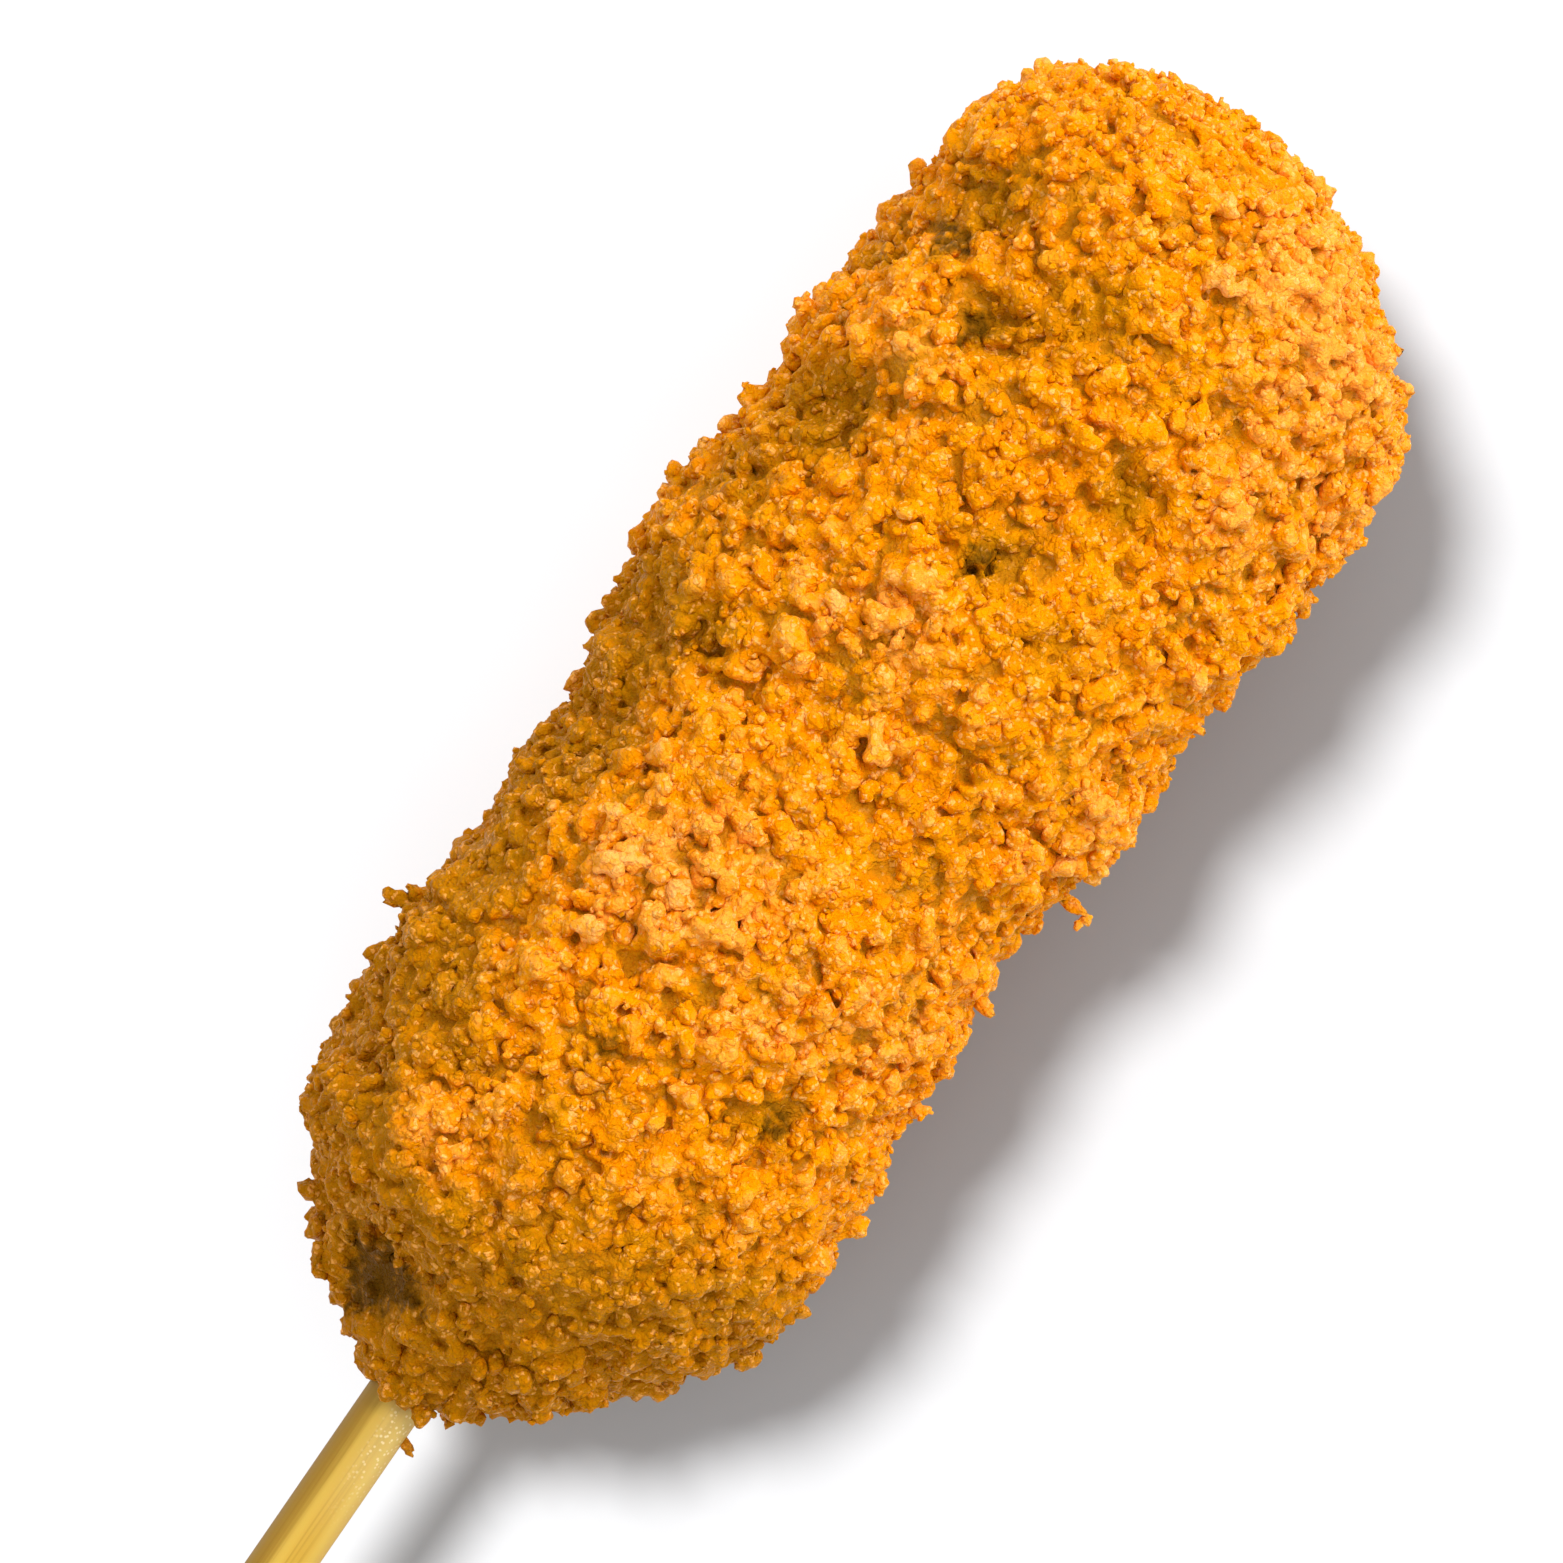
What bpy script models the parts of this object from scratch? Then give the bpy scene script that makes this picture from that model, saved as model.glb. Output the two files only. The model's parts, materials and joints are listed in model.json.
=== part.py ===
"""A breaded corn dog on a bamboo stick, lying on its side.

The crust is one lumpy solid with a domed tip, a narrower dome at the stick end and a small flat
underneath, where it lies on the table. The stick is a round dowel in a blind socket along the
crust's axis. Metres, +Z up. The corn dog lies along X with its tip towards +X, and the origin is
at the centre of the bottom of the box round the whole object.
"""

import math

import bmesh
import bpy
from mathutils import Vector, noise

MM = 0.001

# Driving dimensions. X is measured from the crust's mouth, where the stick goes in.
BODY_LENGTH = 134.4 * MM
AXIS_HEIGHT = 22.6 * MM  # of the stick and the crust's axis above the table
CRUMB_STAND = 1.0 * MM  # how far loose crumbs stand proud of this solid, on average

STICK_DIAMETER = 5.5 * MM
STICK_OUTSIDE = 75.0 * MM  # the handle
STICK_INSIDE = 105.0 * MM
STICK_EDGE = 0.5 * MM  # the dowel's eased end edges
STICK_SIDES = 28
FIT_GAP = 0.3 * MM  # between the dowel and its socket

# The ends of the crust, (towards +Y, towards -Y). A dome's power is 0.5 for an ellipse and more
# for a leaner one.
NECK_RADIUS = 3.8 * MM
STICK_DOME_LENGTHS = (22.0 * MM, 26.0 * MM)
STICK_DOME_POWERS = (1.1, 1.15)
TIP_DOME_LENGTHS = (17.0 * MM, 22.0 * MM)
TIP_DOME_POWERS = (0.38, 0.60)
TIP_SHIFT = 1.5 * MM  # of the tip's pole towards +Y

# Half-widths of the crust in millimetres, crumbs included: (x, towards +Y, towards -Y, up).
GIRTH_STATIONS = (
    (0.0, 23.0, 24.4, 23.4),
    (25.0, 24.3, 25.3, 24.2),
    (38.0, 25.1, 25.7, 24.8),
    (48.0, 24.2, 24.3, 24.6),
    (60.0, 24.4, 22.9, 24.2),
    (67.0, 26.1, 23.6, 24.4),
    (78.0, 26.8, 25.5, 25.2),
    (88.0, 24.9, 26.2, 25.5),
    (100.0, 25.9, 27.2, 25.6),
    (112.0, 25.4, 26.9, 25.2),
    (134.0, 23.4, 25.6, 23.8),
)
UNDERSIDE = 24.2  # half-height below the axis, before the table flattens it

# Single hollows (negative) and knolls in the crust:
# (x, angle from +Y up over the top, length along x, width round the crust, height), in mm and degrees.
HOLLOWS_AND_KNOLLS = (
    (70.0, 78.0, 3.0, 22.0, -1.1),  # the groove round the waist
    (61.0, 42.0, 5.0, 5.0, -1.3),
    (92.5, 45.0, 4.0, 4.5, -1.6),
    (99.0, 52.0, 3.5, 7.0, 0.9),
    (105.5, 66.0, 5.0, 6.0, -1.2),
    (113.0, 48.0, 4.5, 4.0, -1.1),
    (89.0, 91.0, 5.0, 5.0, -0.9),
    (98.5, 104.0, 4.0, 7.0, -1.0),
    (40.0, 122.0, 6.0, 3.5, -0.9),
    (17.0, 60.0, 3.5, 9.0, 1.0),  # the brow over the stick-end dome
    (53.0, 108.0, 9.0, 6.0, 0.6),
    (9.5, 52.0, 4.0, 5.0, -1.0),  # the bare patch beside the stick
    (121.0, 118.0, 8.0, 9.0, 0.6),
    (14.0, 0.0, 3.5, 12.0, -1.2),
    (15.5, 180.0, 4.0, 12.0, -1.2),
    (127.0, 180.0, 4.5, 12.0, -2.0),
)

# The batter's own lumps: (size of a lump, height), in millimetres.
LUMPS = ((15.0, 1.3), (6.5, 0.8), (3.6, 0.45))
LEAST_GIRTH_FOR_LUMPS = 0.45  # nearer the poles than this share of the full girth, the relief fades out
NOISE_OFFSET = Vector((11.3, 4.7, 8.1))

RING_SEGMENTS = 56
STICK_END_RINGS = 13
MIDDLE_RINGS = 32
TIP_END_RINGS = 13
STICK_END = 26.0 * MM  # how far the closer rings reach from each pole
TIP_END = 22.0 * MM


def clear_scene():
    for obj in list(bpy.data.objects):
        bpy.data.objects.remove(obj)


def food_material(name, colour, roughness):
    """A Principled BSDF in one colour, with no metal."""
    material = bpy.data.materials.new(name)
    material.use_nodes = True
    shader = material.node_tree.nodes["Principled BSDF"]
    shader.inputs["Base Color"].default_value = (*colour, 1.0)
    shader.inputs["Roughness"].default_value = roughness
    shader.inputs["Metallic"].default_value = 0.0
    return material


def link_object(name, mesh, material):
    obj = bpy.data.objects.new(name, mesh)
    mesh.materials.append(material)
    bpy.context.scene.collection.objects.link(obj)
    return obj


def dome(share, power):
    """The width of a dome at a share of its length from its pole, from 0 to 1."""
    inward = 1.0 - min(max(share, 0.0), 1.0)
    return (1.0 - inward * inward) ** power


def between_sides(pair, angle):
    """A value that turns from its +Y figure to its -Y one round the crust."""
    towards_left = 0.5 + 0.5 * math.cos(angle)
    return pair[1] + (pair[0] - pair[1]) * towards_left


def stick_dome(x, angle):
    length = between_sides(STICK_DOME_LENGTHS, angle)
    return dome(x / length, between_sides(STICK_DOME_POWERS, angle))


def tip_dome(x, angle):
    length = between_sides(TIP_DOME_LENGTHS, angle)
    return dome((BODY_LENGTH - x) / length, between_sides(TIP_DOME_POWERS, angle))


def girth_at(x):
    """The crust's half-widths (towards +Y, towards -Y, up) at x, eased between the stations."""
    x_mm = x / MM
    for near, far in zip(GIRTH_STATIONS, GIRTH_STATIONS[1:]):
        if x_mm <= far[0] or far is GIRTH_STATIONS[-1]:
            share = min(max((x_mm - near[0]) / (far[0] - near[0]), 0.0), 1.0)
            ease = 0.5 - 0.5 * math.cos(math.pi * share)
            return [(a + (b - a) * ease) * MM - CRUMB_STAND for a, b in zip(near[1:], far[1:])]


def relief_at(x, angle, girth):
    """How far the crust stands out of its smooth form at x and angle."""
    place = Vector((x, girth * math.cos(angle), girth * math.sin(angle))) / MM
    height = 0.0
    for size, rise in LUMPS:
        height += rise * noise.noise(place / size + NOISE_OFFSET)
    for centre, degrees, length, width, rise in HOLLOWS_AND_KNOLLS:
        turn = math.remainder(angle - math.radians(degrees), math.tau)
        along = (x / MM - centre) / length
        across = turn * girth / MM / width
        height += rise * math.exp(-along * along - across * across)
    return height * MM


def crust_point(x, angle):
    """A point of the crust's surface, with z from the axis."""
    left, right, up = girth_at(x)
    down = UNDERSIDE * MM - CRUMB_STAND
    side = left if math.cos(angle) > 0.0 else right
    high = up if math.sin(angle) > 0.0 else down
    girth = 1.0 / math.hypot(math.cos(angle) / side, math.sin(angle) / high)
    stick_end = stick_dome(x, angle)
    tip_end = tip_dome(x, angle)
    fade = min(stick_end * tip_end / LEAST_GIRTH_FOR_LUMPS, 1.0)
    radius = NECK_RADIUS + (girth - NECK_RADIUS) * stick_end + relief_at(x, angle, girth) * fade
    y = TIP_SHIFT + (radius * math.cos(angle) - TIP_SHIFT) * tip_end
    z = radius * math.sin(angle) * tip_end
    return Vector((x, y, max(z, -AXIS_HEIGHT)))


def ring_places():
    """The x of each ring, close together on the domes, without the tip itself."""
    quarter = math.pi / 2.0
    stick_end = [STICK_END * (i / STICK_END_RINGS) for i in range(STICK_END_RINGS)]
    middle = BODY_LENGTH - STICK_END - TIP_END
    straight = [STICK_END + middle * i / MIDDLE_RINGS for i in range(MIDDLE_RINGS)]
    tip_end = [
        BODY_LENGTH - TIP_END * (1.0 - math.sin(quarter * i / TIP_END_RINGS))
        for i in range(TIP_END_RINGS)
    ]
    return stick_end + straight + tip_end


def crust_mesh():
    """The crust as one closed skin, lofted through its rings."""
    shape = bmesh.new()
    rings = []
    for x in ring_places():
        angles = (math.tau * k / RING_SEGMENTS for k in range(RING_SEGMENTS))
        rings.append([shape.verts.new(crust_point(x, angle)) for angle in angles])
    for near, far in zip(rings, rings[1:]):
        for k in range(RING_SEGMENTS):
            after = (k + 1) % RING_SEGMENTS
            shape.faces.new((near[k], near[after], far[after], far[k]))
    shape.faces.new(rings[0])
    tip = shape.verts.new((BODY_LENGTH, TIP_SHIFT, 0.0))
    for k in range(RING_SEGMENTS):
        shape.faces.new((rings[-1][k], rings[-1][(k + 1) % RING_SEGMENTS], tip))
    bmesh.ops.recalc_face_normals(shape, faces=shape.faces)
    mesh = bpy.data.meshes.new("crumbed_crust")
    shape.to_mesh(mesh)
    shape.free()
    mesh.shade_smooth()
    return mesh


def dowel_mesh(name, radius, start, end):
    """A round rod along X from start to end."""
    shape = bmesh.new()
    bmesh.ops.create_cone(
        shape,
        cap_ends=True,
        segments=STICK_SIDES,
        radius1=radius,
        radius2=radius,
        depth=end - start,
    )
    for vert in shape.verts:
        vert.co = Vector((vert.co.z + (start + end) / 2.0, vert.co.x, vert.co.y))
    bmesh.ops.recalc_face_normals(shape, faces=shape.faces)
    mesh = bpy.data.meshes.new(name)
    shape.to_mesh(mesh)
    shape.free()
    mesh.shade_smooth()
    mesh.set_sharp_from_angle(angle=math.radians(40.0))
    return mesh


def make_crust():
    material = food_material("fried_crumbs", (0.62, 0.25, 0.02), 0.6)
    return link_object("crumbed_crust", crust_mesh(), material)


def make_stick():
    material = food_material("bamboo", (0.66, 0.46, 0.14), 0.5)
    mesh = dowel_mesh("bamboo_stick", STICK_DIAMETER / 2.0, -STICK_OUTSIDE, STICK_INSIDE)
    stick = link_object("bamboo_stick", mesh, material)
    edge = stick.modifiers.new("eased ends", "BEVEL")
    edge.width = STICK_EDGE
    edge.segments = 2
    edge.limit_method = "ANGLE"
    return stick


def cut_socket(crust):
    """Cuts the blind socket that the dowel fills."""
    mouth = -2.0 * MM
    radius = STICK_DIAMETER / 2.0 + FIT_GAP
    mesh = dowel_mesh("socket_cutter", radius, mouth, STICK_INSIDE + FIT_GAP)
    cutter = bpy.data.objects.new("socket_cutter", mesh)
    bpy.context.scene.collection.objects.link(cutter)
    cutter.hide_render = True
    cutter.display_type = "WIRE"
    cut = crust.modifiers.new("stick socket", "BOOLEAN")
    cut.operation = "DIFFERENCE"
    cut.object = cutter
    return cutter


def set_on_table(*objects):
    """Moves everything so that the origin is at the centre of the bottom of the whole box."""
    bpy.context.view_layer.update()
    shown = [obj for obj in objects if not obj.hide_render]
    corners = [obj.matrix_world @ Vector(corner) for obj in shown for corner in obj.bound_box]
    low = Vector([min(corner[i] for corner in corners) for i in range(3)])
    high = Vector([max(corner[i] for corner in corners) for i in range(3)])
    base = Vector(((low.x + high.x) / 2.0, (low.y + high.y) / 2.0, low.z))
    for obj in objects:
        obj.location = -base


def main():
    clear_scene()
    crust = make_crust()
    stick = make_stick()
    cutter = cut_socket(crust)
    set_on_table(crust, stick, cutter)


main()
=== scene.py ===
"""The looks of a breaded corn dog on a bamboo stick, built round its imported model.

Everything is in metres. The corn dog lies along X with its tip towards +X and its stick towards -X.
"""

import json
import math
import random

import bmesh
import bpy
import numpy as np
from mathutils import Matrix, Vector, noise

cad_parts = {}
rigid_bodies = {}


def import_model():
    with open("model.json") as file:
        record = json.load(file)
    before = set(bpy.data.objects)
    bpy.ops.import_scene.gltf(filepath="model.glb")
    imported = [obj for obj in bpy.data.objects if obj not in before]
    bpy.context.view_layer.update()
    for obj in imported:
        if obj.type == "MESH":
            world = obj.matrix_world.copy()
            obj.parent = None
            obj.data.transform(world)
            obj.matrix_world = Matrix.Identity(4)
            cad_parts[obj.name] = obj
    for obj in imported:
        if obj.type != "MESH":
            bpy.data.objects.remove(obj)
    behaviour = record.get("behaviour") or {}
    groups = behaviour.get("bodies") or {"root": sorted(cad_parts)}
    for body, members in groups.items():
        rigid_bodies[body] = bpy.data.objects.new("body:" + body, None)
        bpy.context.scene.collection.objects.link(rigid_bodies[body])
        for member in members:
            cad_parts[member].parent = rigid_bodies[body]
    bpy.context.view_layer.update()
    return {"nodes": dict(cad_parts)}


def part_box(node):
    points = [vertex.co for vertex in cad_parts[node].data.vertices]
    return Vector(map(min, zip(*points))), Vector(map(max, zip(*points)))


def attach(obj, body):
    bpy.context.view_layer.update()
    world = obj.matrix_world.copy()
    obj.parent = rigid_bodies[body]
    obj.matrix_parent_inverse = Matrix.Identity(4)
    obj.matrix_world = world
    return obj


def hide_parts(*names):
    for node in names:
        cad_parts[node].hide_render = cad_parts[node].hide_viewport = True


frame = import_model()
MM = 0.001

# ---- Breading ----------------------------------------------------------------------------------
# The sausage was dipped in a thick wheat batter and rolled in torn dry bread. The breading is the
# coat that both make: crumbs pressed side by side into the batter, with amber folds between them.

crust_low, crust_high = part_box("crumbed_crust")
stick_low, stick_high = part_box("bamboo_stick")
AXIS = (stick_low + stick_high) / 2.0
STICK_RADIUS = (stick_high.z - stick_low.z) / 2.0
MOUTH_X = crust_low.x
SOCKET_WALL = STICK_RADIUS + 0.6 * MM  # what lies nearer the axis is the socket's wall
TABLE_GAP = 0.1 * MM


class Wire:
    """A value in a node tree. Arithmetic on it adds Math nodes."""

    def __init__(self, tree, socket=None):
        self.tree = tree
        self.socket = socket

    def node(self, kind, settings=(), values=(), out=None):
        """Adds a node, sets it up, feeds its sockets and gives its output, the first one if not named."""
        node = self.tree.nodes.new(kind)
        for key, value in dict(settings).items():
            setattr(node, key, value)
        for key, value in dict(values).items():
            target = socket_of(node.inputs, key)
            if isinstance(value, Wire):
                self.tree.links.new(value.socket, target)
            else:
                target.default_value = value
        return Wire(self.tree, socket_of(node.outputs, out))

    def math(self, operation, *values):
        return self.node("ShaderNodeMath", {"operation": operation}, enumerate(values))

    def __add__(self, other):
        return self.math("ADD", self, other)

    def __radd__(self, other):
        return self.math("ADD", other, self)

    def __sub__(self, other):
        return self.math("SUBTRACT", self, other)

    def __rsub__(self, other):
        return self.math("SUBTRACT", other, self)

    def __mul__(self, other):
        return self.math("MULTIPLY", self, other)

    def __rmul__(self, other):
        return self.math("MULTIPLY", other, self)

    def __rtruediv__(self, other):
        return self.math("DIVIDE", other, self)

    def __pow__(self, other):
        return self.math("POWER", self, other)

    def between(self, low, high):
        """0 below low and 1 above high, with soft ends."""
        settings = {"interpolation_type": "SMOOTHSTEP", "clamp": True}
        values = {"Value": self, "From Min": low, "From Max": high}
        return self.node("ShaderNodeMapRange", settings, values)

    def mixed(self, share, other):
        """This colour, with another over it."""
        settings = {"data_type": "RGBA", "clamp_factor": True}
        return self.node("ShaderNodeMix", settings, {"Factor": share, "A": self, "B": other})


def socket_of(sockets, key):
    """A node's socket by its place or its name. Sockets that are switched off are passed over."""
    shown = [socket for socket in sockets if socket.enabled]
    if key is None:
        return shown[0]
    if isinstance(key, int):
        return shown[key]
    return next(socket for socket in shown if socket.name == key)


def new_material(name):
    """A material, a Wire to start its tree from, and its shader's sockets."""
    material = bpy.data.materials.new(name)
    material.use_nodes = True
    tree = material.node_tree
    return material, Wire(tree), tree.nodes["Principled BSDF"].inputs


def feed(wire, target):
    wire.tree.links.new(wire.socket, target)


def evaluated_mesh(obj):
    """The mesh that an object's modifiers make, as plain data."""
    depsgraph = bpy.context.evaluated_depsgraph_get()
    return bpy.data.meshes.new_from_object(obj.evaluated_get(depsgraph), depsgraph=depsgraph)


def apply_modifiers(obj):
    mesh = evaluated_mesh(obj)
    obj.modifiers.clear()
    obj.data = mesh
    return mesh


def add_object(name, mesh):
    obj = bpy.data.objects.new(name, mesh)
    bpy.context.scene.collection.objects.link(obj)
    return obj


def plugged_crust():
    """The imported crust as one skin, with its socket taken out and its mouth closed."""
    shape = bmesh.new()
    shape.from_mesh(frame["nodes"]["crumbed_crust"].data)
    bmesh.ops.remove_doubles(shape, verts=shape.verts, dist=0.001 * MM)
    wall = [v for v in shape.verts if math.hypot(v.co.y - AXIS.y, v.co.z - AXIS.z) < SOCKET_WALL]
    wall = [v for v in wall if v.co.x < stick_high.x + 2.0 * MM]
    bmesh.ops.delete(shape, geom=wall, context="VERTS")
    rim = [edge for edge in shape.edges if edge.is_boundary]
    bmesh.ops.contextual_create(shape, geom=rim)
    bmesh.ops.recalc_face_normals(shape, faces=shape.faces)
    mesh = bpy.data.meshes.new("batter")
    shape.to_mesh(mesh)
    shape.free()
    return mesh


def new_tree(name, inputs):
    """A Geometry Nodes tree with a geometry in, these named inputs and a geometry out."""
    tree = bpy.data.node_groups.new(name, "GeometryNodeTree")
    tree.interface.new_socket("Geometry", in_out="INPUT", socket_type="NodeSocketGeometry")
    for label, kind in inputs:
        tree.interface.new_socket(label, in_out="INPUT", socket_type="NodeSocket" + kind)
    tree.interface.new_socket("Geometry", in_out="OUTPUT", socket_type="NodeSocketGeometry")
    group = tree.nodes.new("NodeGroupInput")
    return tree, {socket.name: Wire(tree, socket) for socket in group.outputs if socket.name}


def end_tree(tree, geometry):
    last = tree.nodes.new("NodeGroupOutput")
    tree.links.new(geometry.socket, last.inputs["Geometry"])


def grow(obj, tree, values):
    """Runs a Geometry Nodes tree on an object and keeps the mesh that it makes."""
    modifier = obj.modifiers.new(tree.name, "NODES")
    modifier.node_group = tree
    identifiers = {item.name: item.identifier for item in tree.interface.items_tree
                   if item.in_out == "INPUT"}
    for label, value in values.items():
        modifier[identifiers[label]] = value
    return apply_modifiers(obj)


def batter_relief_tree():
    """Sinks the batter's skin and raises it in soft lumps."""
    tree, given = new_tree("batter relief", [
        ("Sink", "Float"), ("Lump Size", "Float"), ("Lump Height", "Float"), ("Table Gap", "Float")])
    start = given["Geometry"]
    place = start.node("GeometryNodeInputPosition")
    normal = start.node("GeometryNodeInputNormal")
    lumps = start.node("ShaderNodeTexNoise", {"noise_dimensions": "3D"},
                       {"Vector": place, "Scale": 1.0 / given["Lump Size"], "Detail": 1.0})
    rise = start.node("GeometryNodeInputNamedAttribute", {"data_type": "FLOAT"}, {"Name": "rise"})
    height = (lumps - 0.5) * 2.0 * given["Lump Height"] + rise * (1.4 * MM) - given["Sink"]
    offset = start.node("ShaderNodeVectorMath", {"operation": "SCALE"}, {"Vector": normal, "Scale": height})
    raised = start.node("GeometryNodeSetPosition", (), {"Geometry": start, "Offset": offset})
    end_tree(tree, off_the_table(raised, given["Table Gap"]))
    return tree


def off_the_table(geometry, gap):
    """Presses whatever is lower than the table flat on it."""
    place = geometry.node("GeometryNodeInputPosition")
    z = geometry.node("ShaderNodeSeparateXYZ", (), {"Vector": place}, "Z")
    x = geometry.node("ShaderNodeSeparateXYZ", (), {"Vector": place}, "X")
    y = geometry.node("ShaderNodeSeparateXYZ", (), {"Vector": place}, "Y")
    pressed = geometry.node("ShaderNodeCombineXYZ", (), {"X": x, "Y": y, "Z": z.math("MAXIMUM", z, gap)})
    return geometry.node("GeometryNodeSetPosition", (), {"Geometry": geometry, "Position": pressed})


def seen_from_above(mesh):
    """Each point's place from the mouth and across, and whether it is on the upper side."""
    places = np.empty(len(mesh.vertices) * 3)
    mesh.vertices.foreach_get("co", places)
    along, across, up = places.reshape(-1, 3).T
    return along - MOUTH_X, AXIS.y - across, up > AXIS.z


def paint(mesh, name, values):
    attribute = mesh.attributes.get(name) or mesh.attributes.new(name, "FLOAT", "POINT")
    attribute.data.foreach_set("value", values)


# Where crumbs have come away: (from the mouth, across towards -Y, radius, how bare), on the upper side.
BARE_PATCHES = (
    (9.3 * MM, -7.0 * MM, 4.2 * MM, 0.85),
    (40.3 * MM, 13.0 * MM, 1.8 * MM, 0.7),
    (38.3 * MM, -2.5 * MM, 1.8 * MM, 0.6),
    (88.3 * MM, 0.0 * MM, 2.0 * MM, 0.7),
    (109.3 * MM, -17.0 * MM, 2.2 * MM, 0.7),
    (104.3 * MM, -11.0 * MM, 2.0 * MM, 0.7),
)


def paint_cover(mesh):
    """Stores how thickly crumbs lie at each point: 1 as a rule and 0 on a bare patch."""
    along, across, upper = seen_from_above(mesh)
    cover = np.ones(len(along))
    for from_mouth, to_side, radius, bareness in BARE_PATCHES:
        turn = np.arctan2(across - to_side, along - from_mouth)
        ragged = 1.0 + 0.22 * np.sin(3.0 * turn + 1.0) + 0.15 * np.sin(7.0 * turn)
        far = np.hypot(along - from_mouth, across - to_side) / radius * ragged
        cover = np.minimum(cover, 1.0 - bareness * np.exp(-(far ** 4)) * upper)
    paint(mesh, "cover", cover)


# Hollows and knolls: (from the mouth, across towards -Y, radius, rise), in millimetres, on the upper side.
# Each one sinks or raises the batter, and its rise also paints shade into the hollows and highlight onto the
# knolls.
HOLLOWS_AND_KNOLLS = (
    (9.3, -7.0, 5.5, -2.0), (13.5, -14.5, 5.5, -1.2), (6.0, 4.0, 5.0, -0.7), (16.0, 13.0, 4.5, -0.9),
    (23.5, 20.0, 4.5, -0.9), (25.0, -20.5, 3.5, -1.0), (33.5, -16.5, 3.0, -0.7), (30.0, -11.5, 2.5, -0.6),
    (40.5, 13.0, 2.4, -0.8), (45.0, -23.0, 6.0, -0.6), (58.5, -19.0, 4.0, -1.0), (69.0, -22.0, 4.0, -1.0),
    (71.0, -14.0, 2.6, -0.8), (70.5, -3.0, 1.8, -0.6), (83.0, -21.5, 3.5, -0.7), (92.0, -18.0, 4.0, -1.2),
    (106.0, -22.5, 2.6, -0.9), (113.5, -16.5, 3.2, -1.0), (105.0, -11.0, 3.0, -0.9), (88.5, 0.0, 3.0, -0.9),
    (92.0, 4.0, 2.5, -0.7), (99.0, 8.0, 3.0, -0.9), (109.0, -4.0, 5.0, -0.5), (84.0, 9.0, 3.5, -0.4),
    (24.5, -9.0, 4.5, 0.7), (52.0, -8.5, 6.0, 0.9), (57.0, 0.0, 6.0, 0.7), (47.0, 6.0, 5.0, 0.6),
    (53.0, 16.0, 6.0, 0.7), (78.5, -3.5, 5.5, 0.9), (76.0, 20.0, 5.0, 0.4), (99.5, -15.0, 3.2, 1.0),
    (123.0, 9.0, 8.0, 0.9), (118.0, 17.0, 7.0, 0.8), (103.0, 15.0, 4.5, 0.5), (108.0, 23.0, 4.5, 0.6),
)


def paint_rise(mesh):
    """Stores how far hollows and knolls stand off the skin, in millimetres."""
    along, across, upper = seen_from_above(mesh)
    rise = np.zeros(len(along))
    for from_mouth, to_side, radius, height in HOLLOWS_AND_KNOLLS:
        far = np.hypot(along - from_mouth * MM, across - to_side * MM) / (radius * MM)
        rise += height * np.exp(-(far ** 2)) * upper
    paint(mesh, "rise", rise)


CRUMB_TOP_DETAIL = 0.02  # how much finer a crumb's mesh stays on its upper side


def torn_crumb(name, seed, core, nubs, nub_radius, roughness, faces):
    """A crumb about one unit across: a torn core, grown over with nubs, roughened and thinned."""
    draw = random.Random(seed)
    stretch = draw.uniform(0.85, 1.35)
    half = Vector((core * stretch, core / stretch * draw.uniform(0.9, 1.2), core * draw.uniform(0.6, 0.9)))
    shape = bmesh.new()
    for k in range(nubs + 1):
        side = Vector([draw.gauss(0.0, 1.0) for _ in range(3)]).normalized()
        middle = side * half * draw.uniform(0.78, 1.02)
        radius = Vector([nub_radius * draw.uniform(0.6, 1.4)] * 3)
        if k == 0:
            middle, radius = Vector(), half
        breaks = [Vector([draw.gauss(0.0, 1.0) for _ in range(3)]).normalized() for _ in range(6)]
        nub = bmesh.ops.create_icosphere(shape, subdivisions=3, radius=1.0)
        for vert in nub["verts"]:
            point = vert.co.copy()
            for plane in breaks:
                over = point.dot(plane) - 0.78
                point -= plane * max(over, 0.0)
            vert.co = point * radius + middle
    mesh = bpy.data.meshes.new(name)
    shape.to_mesh(mesh)
    shape.free()
    crumb = add_object(name, mesh)
    skin = crumb.modifiers.new("one skin", "REMESH")
    skin.mode = "VOXEL"
    skin.voxel_size = 0.035
    mesh = apply_modifiers(crumb)
    offset = Vector((seed * 3.1, seed * 1.7, seed * 0.9))
    for vert in mesh.vertices:
        rough = noise.noise(vert.co * 6.0 + offset) + 0.6 * noise.noise(vert.co * 14.0 + offset)
        vert.co += vert.normal * rough * roughness
    places = [vert.co.copy() for vert in mesh.vertices]
    middle = sum(places, Vector()) / len(places)
    reach = max((place - middle).length for place in places)
    for vert in mesh.vertices:
        vert.co = (vert.co - middle) / reach * 0.5
    below = crumb.vertex_groups.new(name="below")
    for vert in mesh.vertices:
        below.add([vert.index], min(max(0.5 - vert.co.z * 3.0, 0.05), 1.0), "REPLACE")
    few = crumb.modifiers.new("few faces", "DECIMATE")
    few.ratio = faces / sum(len(face.vertices) - 2 for face in mesh.polygons)
    few.vertex_group = "below"
    few.vertex_group_factor = CRUMB_TOP_DETAIL
    mesh = apply_modifiers(crumb)
    crumb.vertex_groups.clear()
    mesh.shade_smooth()
    return crumb


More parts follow.
